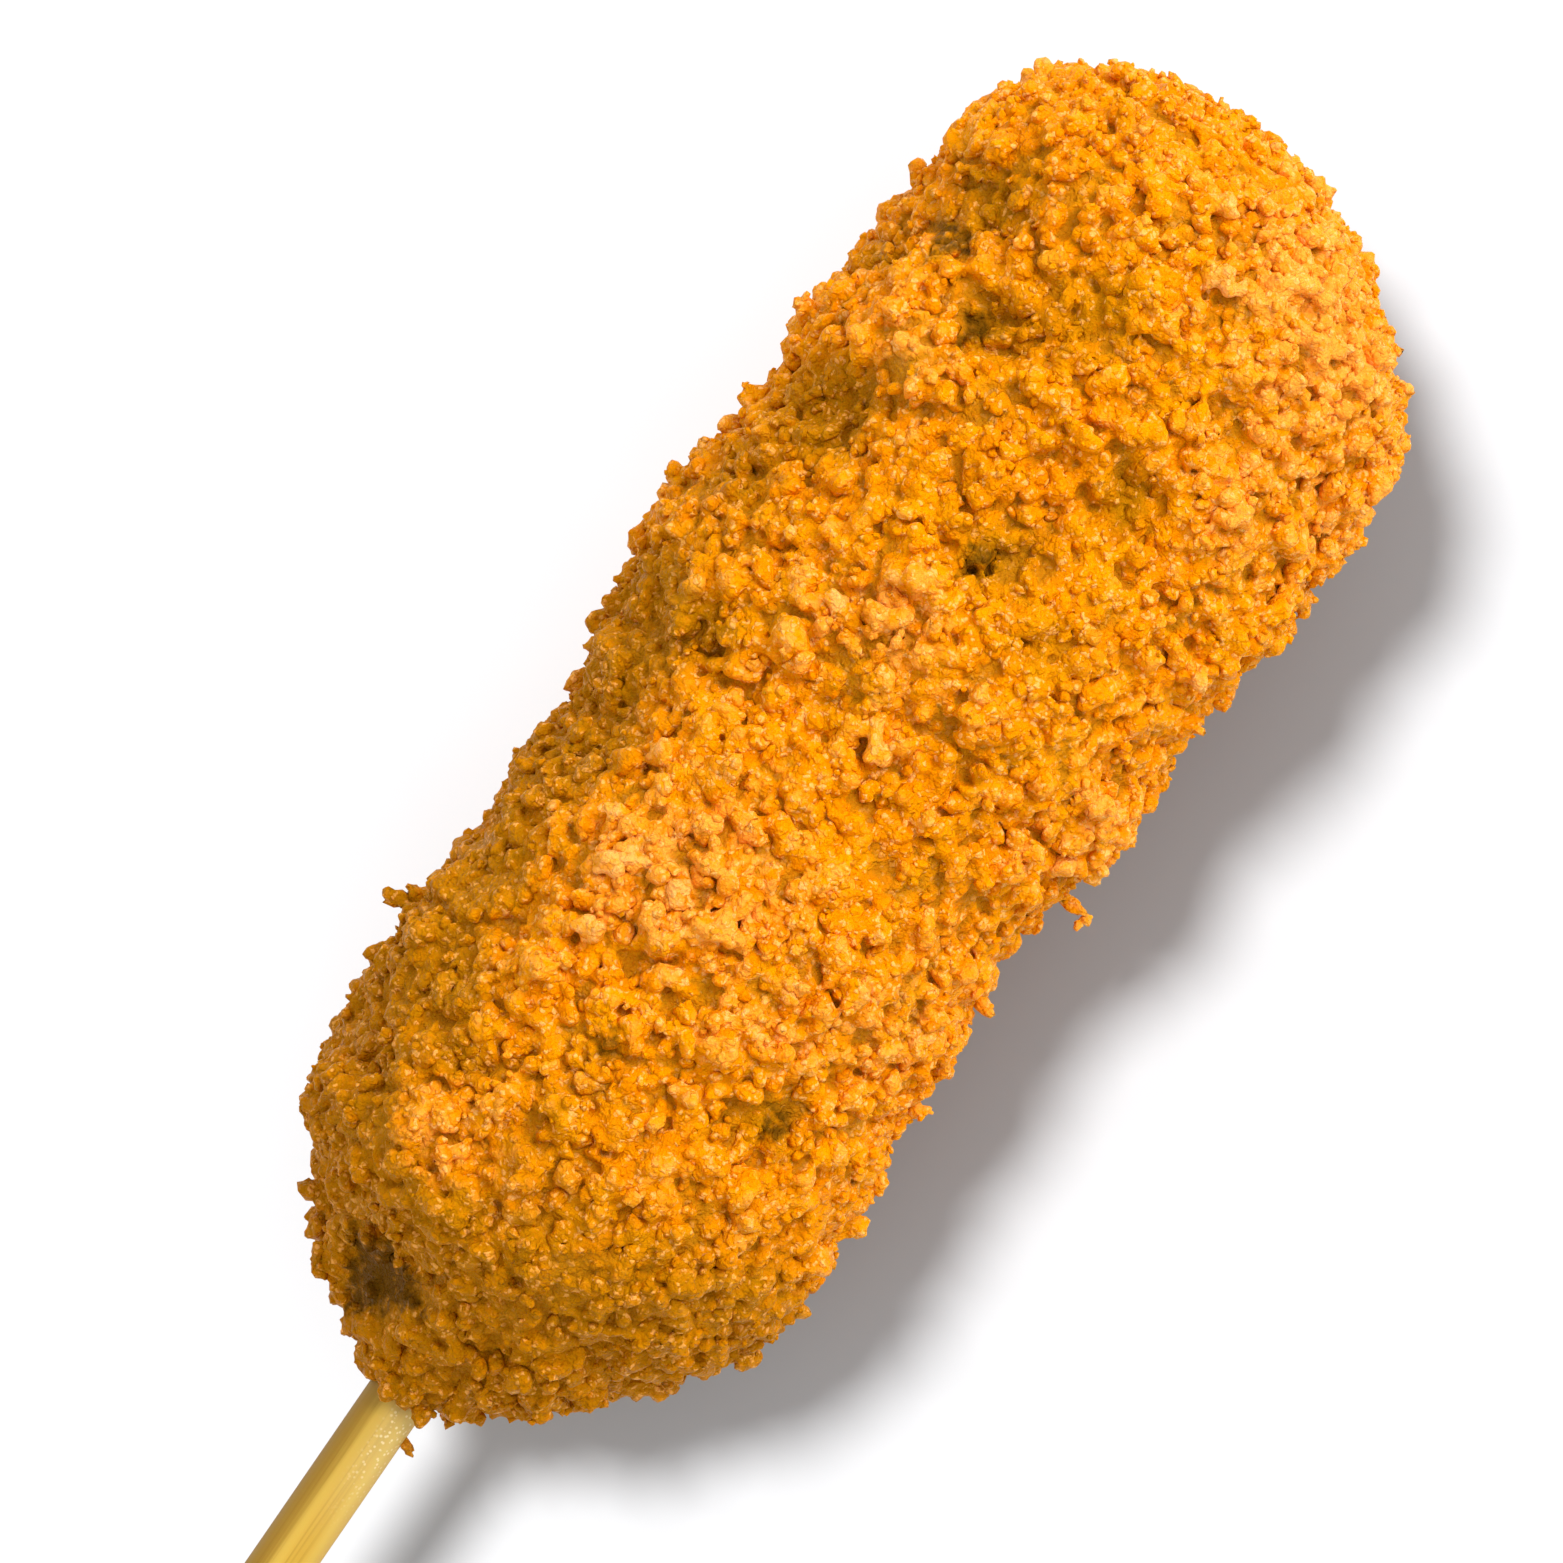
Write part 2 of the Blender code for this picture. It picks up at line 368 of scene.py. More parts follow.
def crumb_shapes(name, count, seed, **form):
    """A collection of unlike crumbs of one kind."""
    shapes = bpy.data.collections.new(name)
    for k in range(count):
        crumb = torn_crumb(f"{name}_{k}", seed + k, **form)
        bpy.context.scene.collection.objects.unlink(crumb)
        shapes.objects.link(crumb)
    return shapes


def clear_shapes(shapes):
    for crumb in list(shapes.objects):
        bpy.data.objects.remove(crumb)
    bpy.data.collections.remove(shapes)


SCATTER_INPUTS = [
    ("Shapes", "Collection"), ("Most per Square Metre", "Float"), ("Spacing", "Float"),
    ("Smallest", "Float"), ("Largest", "Float"), ("Lift", "Float"), ("Unevenness", "Float"),
    ("Tilt", "Float"), ("Clump Size", "Float"), ("Clumping", "Float"), ("Share Underneath", "Float"),
    ("Low Ground", "Float"), ("Seed", "Int")]


def scattered(given):
    """Crumbs set on the geometry given, each at its own size, turn and tone."""
    start = given["Geometry"]
    seed = given["Seed"]
    place = start.node("GeometryNodeInputPosition")
    cover = start.node("GeometryNodeInputNamedAttribute", {"data_type": "FLOAT"}, {"Name": "cover"})
    drift = start.node("ShaderNodeTexNoise", {"noise_dimensions": "4D"},
                       {"Vector": place, "W": seed * 1.37, "Scale": 1.0 / given["Clump Size"], "Detail": 1.0})
    rise = start.node("GeometryNodeInputNamedAttribute", {"data_type": "FLOAT"}, {"Name": "rise"})
    clump = 1.0 - (drift - rise * 0.12).between(0.35, 0.65) * given["Clumping"]
    facing = start.node("ShaderNodeSeparateXYZ", (), {"Vector": start.node("GeometryNodeInputNormal")}, "Z")
    under = 1.0 - facing.between(0.4, -0.4) * (1.0 - given["Share Underneath"])
    stand = start.node("GeometryNodeInputNamedAttribute", {"data_type": "FLOAT"}, {"Name": "stand"})
    high = stand.between(given["Low Ground"], given["Low Ground"] + 0.5)
    spread = start.node("GeometryNodeDistributePointsOnFaces", {"distribute_method": "POISSON"}, {
        "Mesh": start,
        "Distance Min": given["Spacing"],
        "Density Max": given["Most per Square Metre"],
        "Density Factor": cover * clump * under * high,
        "Seed": seed,
    }, "Points")
    normal = Wire(spread.tree, spread.socket.node.outputs["Normal"])
    upright = Wire(spread.tree, spread.socket.node.outputs["Rotation"])
    lean = start.node("FunctionNodeRandomValue", {"data_type": "FLOAT_VECTOR"},
                      {"Min": (-1.0, -1.0, -math.pi), "Max": (1.0, 1.0, math.pi), "Seed": seed + 1})
    tilt = given["Tilt"]
    lean = start.node("ShaderNodeVectorMath", {"operation": "MULTIPLY"},
                      {0: lean, 1: start.node("ShaderNodeCombineXYZ", (), {"X": tilt, "Y": tilt, "Z": 1.0})})
    turn = start.node("FunctionNodeRotateRotation", {"rotation_space": "LOCAL"},
                      {"Rotation": upright, "Rotate By": lean})
    sort = start.node("FunctionNodeRandomValue", {"data_type": "INT"},
                      {"Min": 0, "Max": 99, "Seed": seed + 2})
    size = start.node("FunctionNodeRandomValue", {"data_type": "FLOAT"}, {"Seed": seed + 3})
    size = given["Smallest"] + (given["Largest"] - given["Smallest"]) * size ** 1.4
    shape = start.node("FunctionNodeRandomValue", {"data_type": "FLOAT_VECTOR"},
                       {"Min": (0.85, 0.85, 0.85), "Max": (1.2, 1.2, 1.2), "Seed": seed + 4})
    scale = start.node("ShaderNodeVectorMath", {"operation": "SCALE"}, {"Vector": shape, "Scale": size})
    stand = start.node("FunctionNodeRandomValue", {"data_type": "FLOAT"},
                       {"Min": -1.0, "Max": 1.0, "Seed": seed + 5})
    lifted = start.node("ShaderNodeVectorMath", {"operation": "SCALE"},
                        {"Vector": normal, "Scale": given["Lift"] + stand * given["Unevenness"]})
    points = start.node("GeometryNodeSetPosition", (), {"Geometry": spread, "Offset": lifted})
    unlike = start.node("GeometryNodeCollectionInfo", (),
                        {"Collection": given["Shapes"], "Separate Children": True, "Reset Children": True})
    crumbs = start.node("GeometryNodeInstanceOnPoints", (), {
        "Points": points, "Instance": unlike, "Pick Instance": True, "Instance Index": sort,
        "Rotation": turn, "Scale": scale})
    tone = start.node("FunctionNodeRandomValue", {"data_type": "FLOAT"}, {"Seed": seed + 6})
    crumbs = start.node("GeometryNodeStoreNamedAttribute", {"data_type": "FLOAT", "domain": "INSTANCE"},
                        {"Geometry": crumbs, "Name": "tone", "Value": tone})
    return start.node("GeometryNodeRealizeInstances", (), {"Geometry": crumbs})


def store(geometry, name, value):
    return geometry.node("GeometryNodeStoreNamedAttribute", {"data_type": "FLOAT", "domain": "POINT"},
                         {"Geometry": geometry, "Name": name, "Value": value})


def crumb_tree():
    """Sets loose crumbs on the geometry given."""
    tree, given = new_tree("crumbs", SCATTER_INPUTS)
    end_tree(tree, scattered(given))
    return tree


def measuring_tree():
    """Keeps crumbs off the table, and stores how high they stand over the batter and each one's tone."""
    tree, given = new_tree("measures", [
        ("Batter", "Object"), ("Loose", "Object"), ("Table Gap", "Float"), ("Coating", "Material")])
    crumbs = off_the_table(given["Geometry"], given["Table Gap"])
    for source, name in ((given["Batter"], "rise"), (given["Loose"], "tone")):
        skin = crumbs.node("GeometryNodeObjectInfo", (), {"Object": source}, "Geometry")
        value = crumbs.node("GeometryNodeInputNamedAttribute", {"data_type": "FLOAT"}, {"Name": name})
        value = crumbs.node("GeometryNodeSampleNearestSurface", {"data_type": "FLOAT"},
                            {"Mesh": skin, "Value": value})
        crumbs = store(crumbs, name, value)
    skin = crumbs.node("GeometryNodeObjectInfo", (), {"Object": given["Batter"]}, "Geometry")
    height = crumbs.node("GeometryNodeProximity", {"target_element": "FACES"}, {"Geometry": skin}, "Distance")
    crumbs = store(crumbs, "stand", height * (1.0 / MM))
    coated = {"Geometry": crumbs, "Material": given["Coating"]}
    end_tree(tree, crumbs.node("GeometryNodeSetMaterial", (), coated))
    return tree


CRUMB_TREE = crumb_tree()
MEASURING_TREE = measuring_tree()


def joined(pieces):
    """The ground that these pieces make together."""
    shape = bmesh.new()
    for piece in pieces:
        shape.from_mesh(piece.data)
    mesh = bpy.data.meshes.new("ground")
    shape.to_mesh(mesh)
    shape.free()
    paint_cover(mesh)
    return mesh


def corners(mesh):
    places = np.empty(len(mesh.vertices) * 3)
    mesh.vertices.foreach_get("co", places)
    return places.reshape(-1, 3)


def hidden_share(mesh):
    """How little each point shows: 1 where it faces the sausage, 0.5 underneath and 0 on top."""
    places = corners(mesh)
    facing = np.empty(len(mesh.vertices) * 3)
    mesh.vertex_normals.foreach_get("vector", facing)
    facing = facing.reshape(-1, 3)
    middle = places.copy()
    middle[:, 0] = np.clip(places[:, 0], crust_low.x + 22.0 * MM, crust_high.x - 22.0 * MM)
    middle[:, 1] = AXIS.y
    middle[:, 2] = AXIS.z
    outwards = places - middle
    outwards /= np.linalg.norm(outwards, axis=1)[:, None] + 1e-9
    squarely = (facing * outwards).sum(axis=1)
    low = np.clip((AXIS.z - places[:, 2]) / (20.0 * MM), 0.0, 1.0)
    return np.clip(0.5 - squarely * 1.5, 0.0, 1.0) * 0.6 + low * 0.4


CRUMB_MESH_SIZE = 0.26 * MM
SHOWING_DETAIL = 4.0e-5  # how much finer a merged skin stays where it shows


def merge(obj, mesh_size, faces):
    """Grows crumbs that touch into one skin and thins it, most where it shows least."""
    skin = obj.modifiers.new("one skin", "REMESH")
    skin.mode = "VOXEL"
    skin.voxel_size = mesh_size
    mesh = apply_modifiers(obj)
    levels = np.round(hidden_share(mesh) * 10.0).astype(int)
    group = obj.vertex_groups.new(name="hidden")
    for level in range(11):
        group.add(np.flatnonzero(levels == level).tolist(), 0.1 + level * 0.08, "REPLACE")
    thin = obj.modifiers.new("thin", "DECIMATE")
    thin.ratio = min(1.0, faces / sum(len(face.vertices) - 2 for face in mesh.polygons))
    thin.vertex_group = "hidden"
    thin.vertex_group_factor = SHOWING_DETAIL
    mesh = apply_modifiers(obj)
    obj.vertex_groups.clear()
    return mesh


def coat(name, ground, shapes, material, faces, values, bed=None):
    """Scatters one kind of crumb over the ground given and merges it, as one piece."""
    piece = add_object(name, ground)
    grow(piece, CRUMB_TREE, {"Shapes": shapes, **values})
    loose = add_object("loose", piece.data)
    if bed:
        piece.data = joined([bed, loose])
    if faces:
        merge(piece, CRUMB_MESH_SIZE, faces)
        drop_scraps(piece)
    grow(piece, MEASURING_TREE, {
        "Batter": batter, "Loose": loose, "Table Gap": TABLE_GAP, "Coating": material})
    paint_cover(piece.data)
    piece.data.shade_smooth()
    bpy.data.objects.remove(loose)
    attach(piece, "root")
    return piece


def island_tree():
    """Numbers the separate skins of a mesh."""
    tree, given = new_tree("islands", [])
    start = given["Geometry"]
    island = start.node("GeometryNodeInputMeshIsland", (), (), "Island Index")
    end_tree(tree, start.node("GeometryNodeStoreNamedAttribute", {"data_type": "INT", "domain": "FACE"},
                              {"Geometry": start, "Name": "island", "Value": island}))
    return tree


ISLAND_TREE = island_tree()


def drop_scraps(piece):
    """Takes out pockets of air and specks: islands that hold less than a twentieth of a cubic millimetre."""
    piece.modifiers.new("triangles", "TRIANGULATE")
    apply_modifiers(piece)
    mesh = grow(piece, ISLAND_TREE, {})
    places = corners(mesh)
    ends = np.empty(len(mesh.loops), dtype=np.int32)
    mesh.loops.foreach_get("vertex_index", ends)
    a, b, c = (places[ends.reshape(-1, 3)[:, k]] for k in range(3))
    volume = (a * np.cross(b, c)).sum(axis=1) / 6.0
    island = np.empty(len(mesh.polygons), dtype=np.int32)
    mesh.attributes["island"].data.foreach_get("value", island)
    held = np.bincount(island, weights=volume)
    scrap = held[island] < 0.05 * MM ** 3
    shape = bmesh.new()
    shape.from_mesh(mesh)
    shape.faces.ensure_lookup_table()
    bmesh.ops.delete(shape, geom=[shape.faces[k] for k in np.flatnonzero(scrap)], context="FACES")
    shape.to_mesh(mesh)
    shape.free()
    mesh.attributes.remove(mesh.attributes["island"])


def crumb_material(name, crevice_shade, body, pale):
    """Fried bread: the body's colour, with painted shade low between the crumbs and at the grains' edges,
    paler grains and painted highlight on tops and knolls, and painted glints.
    """
    material, start, shader = new_material(name)
    place = start.node("ShaderNodeTexCoord", out="Object")
    along = start.node("ShaderNodeSeparateXYZ", (), {"Vector": place}, "X")
    across = start.node("ShaderNodeSeparateXYZ", (), {"Vector": place}, "Y")
    tone = start.node("ShaderNodeAttribute", {"attribute_name": "tone"}, out="Fac")
    stand = start.node("ShaderNodeAttribute", {"attribute_name": "stand"}, out="Fac")
    rise = start.node("ShaderNodeAttribute", {"attribute_name": "rise"}, out="Fac")
    cover = start.node("ShaderNodeAttribute", {"attribute_name": "cover"}, out="Fac")
    drift = start.node("ShaderNodeTexNoise", (), {"Vector": place, "Scale": 110.0, "Detail": 2.0})
    hue = start.node("ShaderNodeTexNoise", (), {"Vector": place, "Scale": 300.0, "Detail": 1.0})
    mottle = start.node("ShaderNodeTexNoise", (), {"Vector": place, "Scale": 900.0, "Detail": 2.0})
    grain = start.node("ShaderNodeTexNoise", (), {"Vector": place, "Scale": 3200.0, "Detail": 2.0})

    # the grains that a crumb is made of: lumps of about 1 mm, and nubs of half that, with bent sides
    bend = start.node("ShaderNodeTexNoise", (), {"Vector": place, "Scale": 1400.0, "Detail": 2.0}, "Color")
    bend = start.node("ShaderNodeVectorMath", {"operation": "SUBTRACT"}, {0: bend, 1: (0.5, 0.5, 0.5)})
    bend = start.node("ShaderNodeVectorMath", {"operation": "SCALE"}, {"Vector": bend, "Scale": 0.9 * MM})
    bent = start.node("ShaderNodeVectorMath", {"operation": "ADD"}, {0: place, 1: bend})
    lump = 1.0 - start.node("ShaderNodeTexVoronoi", (), {"Vector": bent, "Scale": 1000.0}) * 1.3
    nub = 1.0 - start.node("ShaderNodeTexVoronoi", (), {"Vector": bent, "Scale": 2200.0}) * 1.3
    cell = start.node("ShaderNodeTexVoronoi", (), {"Vector": bent, "Scale": 1000.0}, "Color")
    cell = start.node("ShaderNodeSeparateXYZ", (), {"Vector": cell}, "X")
    speck = start.node("ShaderNodeTexVoronoi", (), {"Vector": bent, "Scale": 2200.0}, "Color")
    speck = start.node("ShaderNodeSeparateXYZ", (), {"Vector": speck}, "X")

    # painted shade: the crevice colour where a point stands low over the batter or lies at the edge of a
    # grain
    raised = (stand * 0.35 + lump * 0.7 + nub * 0.3 + tone * 0.4 + cell * 0.5).between(0.6, 2.0)
    colour = start.node("ShaderNodeMix", {"data_type": "RGBA"}, {"Factor": raised, "A": crevice_shade, "B": body})
    yellow = (hue + tone * 0.1 + cell * 0.12).between(0.50, 0.75)
    colour = colour.mixed(yellow * 0.5, (0.84, 0.33, 0.0, 1.0))
    # painted highlight: the pale colour on raised tops and knolls, mixed with paler grains that differ at
    # random
    light = stand * 0.3 + lump * 0.6 + nub * 0.5 + tone * 0.3 + cell * 0.9 + drift * 0.9 + rise
    colour = colour.mixed(light.between(1.9, 3.0), pale)
    # painted glints: small bright specks on the nubs
    painted_glint = (speck + grain * 0.6).between(1.0, 1.2) * nub.between(0.1, 0.5)
    colour = colour.mixed(painted_glint * 0.8, (1.0, 0.49, 0.13, 1.0))

    # painted shade in the hollows, round the mouth and along the far side near the stick, with random
    # browning from the drift and mottle mixed in
    mouth = along.between(MOUTH_X + 44.0 * MM, MOUTH_X + 4.0 * MM)
    far_side = across.between(AXIS.y + 8.0 * MM, AXIS.y + 24.0 * MM)
    far_side = far_side * along.between(MOUTH_X + 95.0 * MM, MOUTH_X + 60.0 * MM)
    painted_shade = (mouth + far_side * 0.6) * 1.9
    shade_and_browning = (painted_shade + rise * -1.8 + drift * -1.6 + mottle * 0.4).between(-0.75, 0.85)
    shade_and_browning = shade_and_browning * (0.95 - lump.between(0.1, 0.9) * 0.3 - painted_glint * 0.5)
    colour = colour.mixed(shade_and_browning, (0.42, 0.16, 0.001, 1.0))

    # the batter between the crumbs, and the bare patches
    batter_shows = (stand + mottle + lump * 0.4).between(1.4, 0.6)
    colour = colour.mixed(batter_shows * 0.8, (0.44, 0.17, 0.004, 1.0))
    bare = (cover + mottle * 0.9 + lump * 0.2).between(1.2, 0.7)
    colour = colour.mixed(bare * 0.95, (0.12, 0.048, 0.002, 1.0))

    feed(colour, shader["Base Color"])
    feed(0.2 + grain * 0.4, shader["Roughness"])
    height = lump * 0.25 + nub * 0.3 + grain * 0.3
    bumps = start.node("ShaderNodeBump", (), {"Strength": 1.0, "Distance": 0.6 * MM, "Height": height})
    feed(bumps, shader["Normal"])
    oily_finish(shader)
    return material


def oily_finish(shader):
    """Light goes some way into fried bread, and its oil gives back a warm sheen."""
    shader["Specular IOR Level"].default_value = 0.07
    shader["Specular Tint"].default_value = (1.0, 0.55, 0.05, 1.0)
    shader["Subsurface Weight"].default_value = 0.25
    shader["Subsurface Radius"].default_value = (1.0, 0.42, 0.1)
    shader["Subsurface Scale"].default_value = 0.6 * MM


batter = add_object("batter", plugged_crust())
remesh = batter.modifiers.new("even mesh", "REMESH")
remesh.mode = "VOXEL"
remesh.voxel_size = 0.7 * MM
paint_rise(apply_modifiers(batter))
grow(batter, batter_relief_tree(), {
    "Sink": 1.7 * MM,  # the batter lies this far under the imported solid's skin, to make room for crumbs
    "Lump Size": 7.0 * MM,
    "Lump Height": 1.0 * MM,
    "Table Gap": TABLE_GAP,
})
paint_cover(batter.data)
batter.data.shade_smooth()

# Each crumb material takes the painted shade between the crumbs first, then the body's colour, then the pale
# tone that also serves as painted highlight.
breaded = crumb_material(
    "breading", (0.74, 0.215, 0.0, 1.0), (0.94, 0.30, 0.0, 1.0), (0.98, 0.35, 0.04, 1.0))
pressed = crumb_shapes("pressed", 24, 50, core=0.30, nubs=18, nub_radius=0.105, roughness=0.05, faces=420)
breading = coat("breading", batter.data, pressed, breaded, 197000, {
    "Most per Square Metre": 1.8e6, "Spacing": 1.3 * MM, "Smallest": 1.7 * MM, "Largest": 3.8 * MM,
    "Lift": 0.2 * MM, "Unevenness": 0.6 * MM, "Tilt": 0.8, "Clump Size": 7.0 * MM, "Clumping": 0.0,
    "Share Underneath": 1.0, "Low Ground": -1.0, "Seed": 21}, batter)
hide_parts("crumbed_crust")

# ---- Crumbs ------------------------------------------------------------------------------------
# More crumbs stand on the breading, loose enough to keep their shapes: knots of nubs that caught
# on each other, single grains, and pale slivers of crust that browned less.

# Colours as above: painted crevice shade, body, and pale tone that also serves as painted highlight.
golden = crumb_material(
    "golden_crumbs", (0.76, 0.225, 0.0, 1.0), (0.95, 0.31, 0.0, 1.0), (0.98, 0.36, 0.04, 1.0))
toasted = crumb_material(
    "toasted_crumbs", (0.70, 0.19, 0.0, 1.0), (0.92, 0.285, 0.0, 1.0), (0.97, 0.325, 0.03, 1.0))
pale = crumb_material(
    "pale_crumbs", (0.76, 0.235, 0.001, 1.0), (0.96, 0.37, 0.02, 1.0), (0.99, 0.41, 0.085, 1.0))

grains = crumb_shapes("grain", 12, 200, core=0.30, nubs=4, nub_radius=0.2, roughness=0.12, faces=28)
slivers = crumb_shapes("sliver", 8, 300, core=0.24, nubs=8, nub_radius=0.12, roughness=0.06, faces=150)

golden_crumbs = coat("golden_crumbs", breading.data, pressed, golden, 195000, {
    "Most per Square Metre": 0.24e6, "Spacing": 1.4 * MM, "Smallest": 1.8 * MM, "Largest": 3.9 * MM,
    "Lift": -0.3 * MM, "Unevenness": 0.4 * MM, "Tilt": 0.6, "Clump Size": 7.0 * MM, "Clumping": 0.8,
    "Share Underneath": 0.4, "Low Ground": -1.0, "Seed": 15})
toasted_crumbs = coat("toasted_crumbs", breading.data, pressed, toasted, 190000, {
    "Most per Square Metre": 0.24e6, "Spacing": 1.2 * MM, "Smallest": 1.4 * MM, "Largest": 3.0 * MM,
    "Lift": -0.2 * MM, "Unevenness": 0.4 * MM, "Tilt": 0.6, "Clump Size": 6.0 * MM, "Clumping": 0.8,
    "Share Underneath": 0.4, "Low Ground": -1.0, "Seed": 12})
coat("pale_crumbs", breading.data, slivers, pale, 40000, {
    "Most per Square Metre": 0.03e6, "Spacing": 1.4 * MM, "Smallest": 1.8 * MM, "Largest": 3.9 * MM,
    "Lift": 0.1 * MM, "Unevenness": 0.3 * MM, "Tilt": 0.4, "Clump Size": 9.0 * MM, "Clumping": 0.7,
    "Share Underneath": 0.4, "Low Ground": -1.0, "Seed": 13})
coat("small_crumbs", joined([breading, golden_crumbs, toasted_crumbs]), grains, golden, 0, {
    "Most per Square Metre": 0.26e6, "Spacing": 0.7 * MM, "Smallest": 0.7 * MM, "Largest": 1.8 * MM,
    "Lift": 0.0 * MM, "Unevenness": 0.1 * MM, "Tilt": 0.8, "Clump Size": 6.0 * MM, "Clumping": 0.3,
    "Share Underneath": 0.4, "Low Ground": 0.3, "Seed": 14})

# ---- Stray crumbs ------------------------------------------------------------------------------
# A few bigger crumbs of the same golden bread caught on the sides by one end and stand out from
# them, and one stuck to the stick.

# (from the mouth, across towards -Y, length, width, heading), in millimetres and degrees; heading 0 is
# towards the tip and 90 towards -Y
STRAY_CRUMBS = (
    (36.6, -24.6, 4.4, 1.9, -105.0), (37.6, -23.4, 3.2, 2.2, -60.0), (11.8, -15.8, 4.4, 4.2, -120.0),
    (69.6, 24.2, 3.6, 1.7, 95.0), (69.2, 25.9, 1.6, 1.3, 60.0), (68.4, 25.6, 1.8, 1.0, 185.0),
    (114.6, -22.7, 4.2, 3.4, -70.0), (121.6, -21.6, 3.0, 2.4, -60.0), (-2.2, 3.0, 2.8, 1.9, 120.0),
    (58.0, 22.8, 3.0, 2.0, 100.0), (20.5, 21.0, 2.8, 1.8, 80.0), (128.0, 12.0, 3.0, 2.2, 30.0),
)
shape = bmesh.new()
for k, (from_mouth, to_side, length, width, heading) in enumerate(STRAY_CRUMBS):
    crumb = torn_crumb(f"stray_{k}", 400 + k, core=0.28, nubs=8, nub_radius=0.14, roughness=0.07, faces=120)
    stray = crumb.data
    place = Matrix.Translation((MOUTH_X + from_mouth * MM, AXIS.y - to_side * MM, AXIS.z))
    place @= Matrix.Rotation(-math.radians(heading), 4, "Z")
    stray.transform(place @ Matrix.Diagonal((length * MM, width * MM, width * MM, 1.0)))
    shape.from_mesh(stray)
    bpy.data.objects.remove(crumb)
stray_mesh = bpy.data.meshes.new("stray_crumbs")
shape.to_mesh(stray_mesh)
shape.free()
stray_crumbs = add_object("stray_crumbs", stray_mesh)
grow(stray_crumbs, MEASURING_TREE, {
    "Batter": batter, "Loose": breading, "Table Gap": TABLE_GAP, "Coating": golden})
paint_cover(stray_crumbs.data)
stray_crumbs.data.shade_smooth()
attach(stray_crumbs, "root")

for shapes in (pressed, grains, slivers):
    clear_shapes(shapes)
bpy.data.objects.remove(batter)

# ---- Stick -------------------------------------------------------------------------------------
# The stick is a round dowel turned from one strip of bamboo. Its fibres run its whole length, and
# it carries no varnish.

STICK_TURNS = 72
STICK_EASE = 0.5 * MM


def dowel():
    """The stick's skin as rings round its axis, with eased ends."""
    ease = STICK_EASE
    start, end = stick_low.x, stick_high.x
    profile = [(start, STICK_RADIUS - ease), (start + 0.15 * MM, STICK_RADIUS - 0.55 * ease),
               (start + ease, STICK_RADIUS)]
    rings = 40
    step = (end - start - 2.0 * ease) / rings
    profile += [(start + ease + step * k, STICK_RADIUS) for k in range(1, rings)]
    profile += [(end - ease, STICK_RADIUS), (end, STICK_RADIUS - ease)]
    shape = bmesh.new()
    loops = []
    for x, radius in profile:
        loop = []
        for k in range(STICK_TURNS):
            angle = math.tau * k / STICK_TURNS
            side, up = math.cos(angle), math.sin(angle)
            out = radius + 0.02 * MM * noise.noise(Vector((x / MM * 0.05, side * 3.0, up * 3.0)))
            out -= 0.02 * MM
            loop.append(shape.verts.new((x, AXIS.y + out * side, AXIS.z + out * up)))
        loops.append(loop)
    for near, far in zip(loops, loops[1:]):
        for k in range(STICK_TURNS):
            after = (k + 1) % STICK_TURNS
            shape.faces.new((near[k], near[after], far[after], far[k]))
    shape.faces.new(loops[0])
    shape.faces.new(loops[-1])
    bmesh.ops.recalc_face_normals(shape, faces=shape.faces)
    mesh = bpy.data.meshes.new("stick")
    shape.to_mesh(mesh)
    shape.free()
    mesh.shade_smooth()
    mesh.set_sharp_from_angle(angle=math.radians(35.0))
    return mesh


